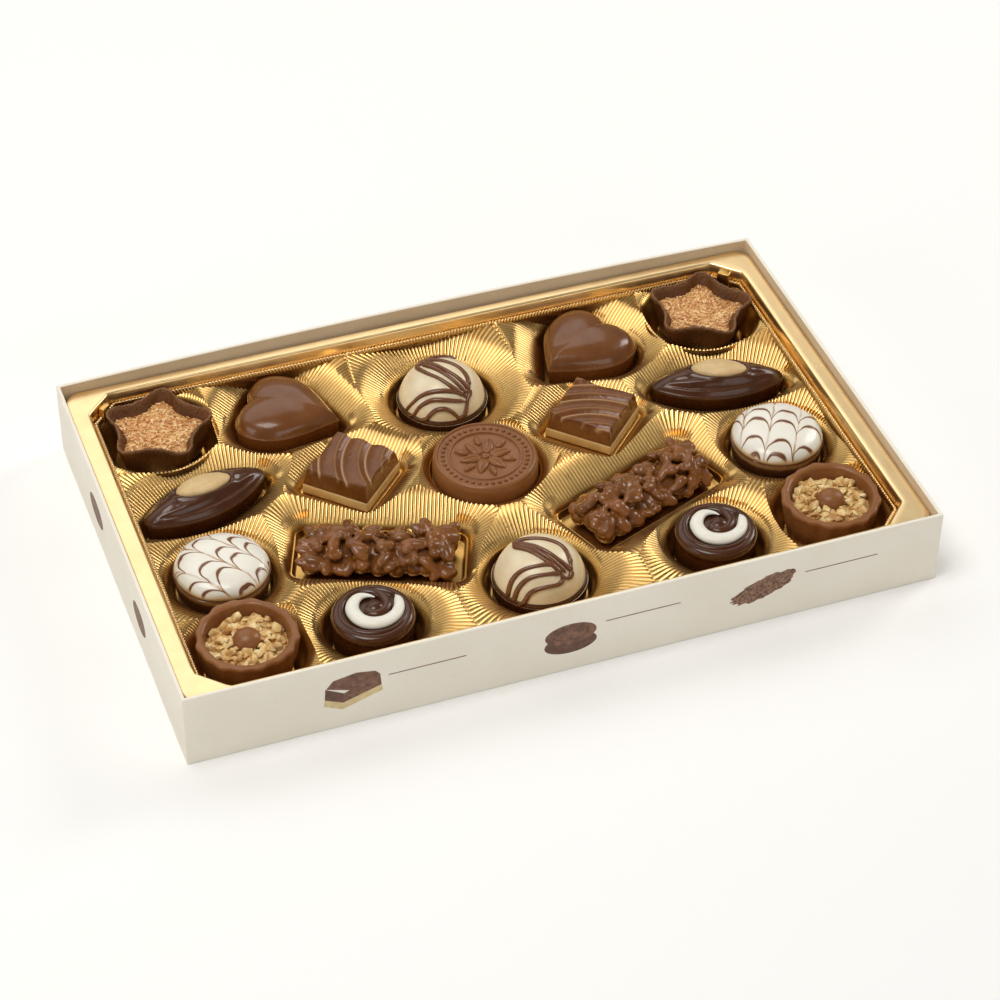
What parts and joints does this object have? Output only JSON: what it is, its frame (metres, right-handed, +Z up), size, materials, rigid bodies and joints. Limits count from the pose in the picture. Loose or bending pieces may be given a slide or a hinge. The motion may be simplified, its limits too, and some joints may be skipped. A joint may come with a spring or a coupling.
{
  "type": "box of chocolate pralines",
  "caption": "Open flat carton with a ribbed gold insert whose shaped pockets hold assorted chocolate pralines",
  "frame": {"origin": "middle of the carton's underside", "axes": "+X along the carton to its right, +Y to its back, +Z up"},
  "size_m": [0.27, 0.1714, 0.0295],
  "materials": {
    "paper": "uncoated cream-white paper on thin board, with small printed pictures on the front and left walls",
    "gold": "thin formed plastic sheet with a bright gold metal coating, ribbed between the pockets",
    "milk_chocolate": "milk chocolate with a soft shine",
    "dark_chocolate": "dark chocolate with a satin shine",
    "white_chocolate": "white chocolate, smooth",
    "ivory_chocolate": "ivory white chocolate under thin milk chocolate strands",
    "icing": "smooth white icing with a feathered brown pattern",
    "crumb": "golden fine crumb of caramelised nuts",
    "almond": "peeled almond",
    "hazelnut_cream": "pale hazelnut cream layer",
    "nougat": "milk nougat, carved in waves",
    "nut_bar": "glossy milk chocolate over slivered nuts",
    "chopped_nuts": "chopped roasted nuts"
  },
  "bodies": {
    "root": {"bar_left": "nut_bar", "bar_right": "nut_bar", "carton": "paper", "cup_left_ball": "milk_chocolate", "cup_left_nuts": "chopped_nuts", "cup_left_shell": "milk_chocolate", "cup_right_ball": "milk_chocolate", "cup_right_nuts": "chopped_nuts", "cup_right_shell": "milk_chocolate", "dome_back_foot": "dark_chocolate", "dome_back_top": "ivory_chocolate", "dome_front_foot": "dark_chocolate", "dome_front_top": "ivory_chocolate", "heart_left": "milk_chocolate", "heart_right": "milk_chocolate", "insert": "gold", "medal": "milk_chocolate", "oval_left_almond": "almond", "oval_left_body": "dark_chocolate", "oval_right_almond": "almond", "oval_right_body": "dark_chocolate", "round_left_base": "dark_chocolate", "round_left_icing": "icing", "round_right_base": "dark_chocolate", "round_right_icing": "icing", "square_left_cream": "hazelnut_cream", "square_left_nougat": "nougat", "square_right_cream": "hazelnut_cream", "square_right_nougat": "nougat", "star_left_filling": "crumb", "star_left_shell": "dark_chocolate", "star_right_filling": "crumb", "star_right_shell": "dark_chocolate", "swirl_left_band": "white_chocolate", "swirl_left_body": "dark_chocolate", "swirl_right_band": "white_chocolate", "swirl_right_body": "dark_chocolate"}
  },
  "joints": []
}
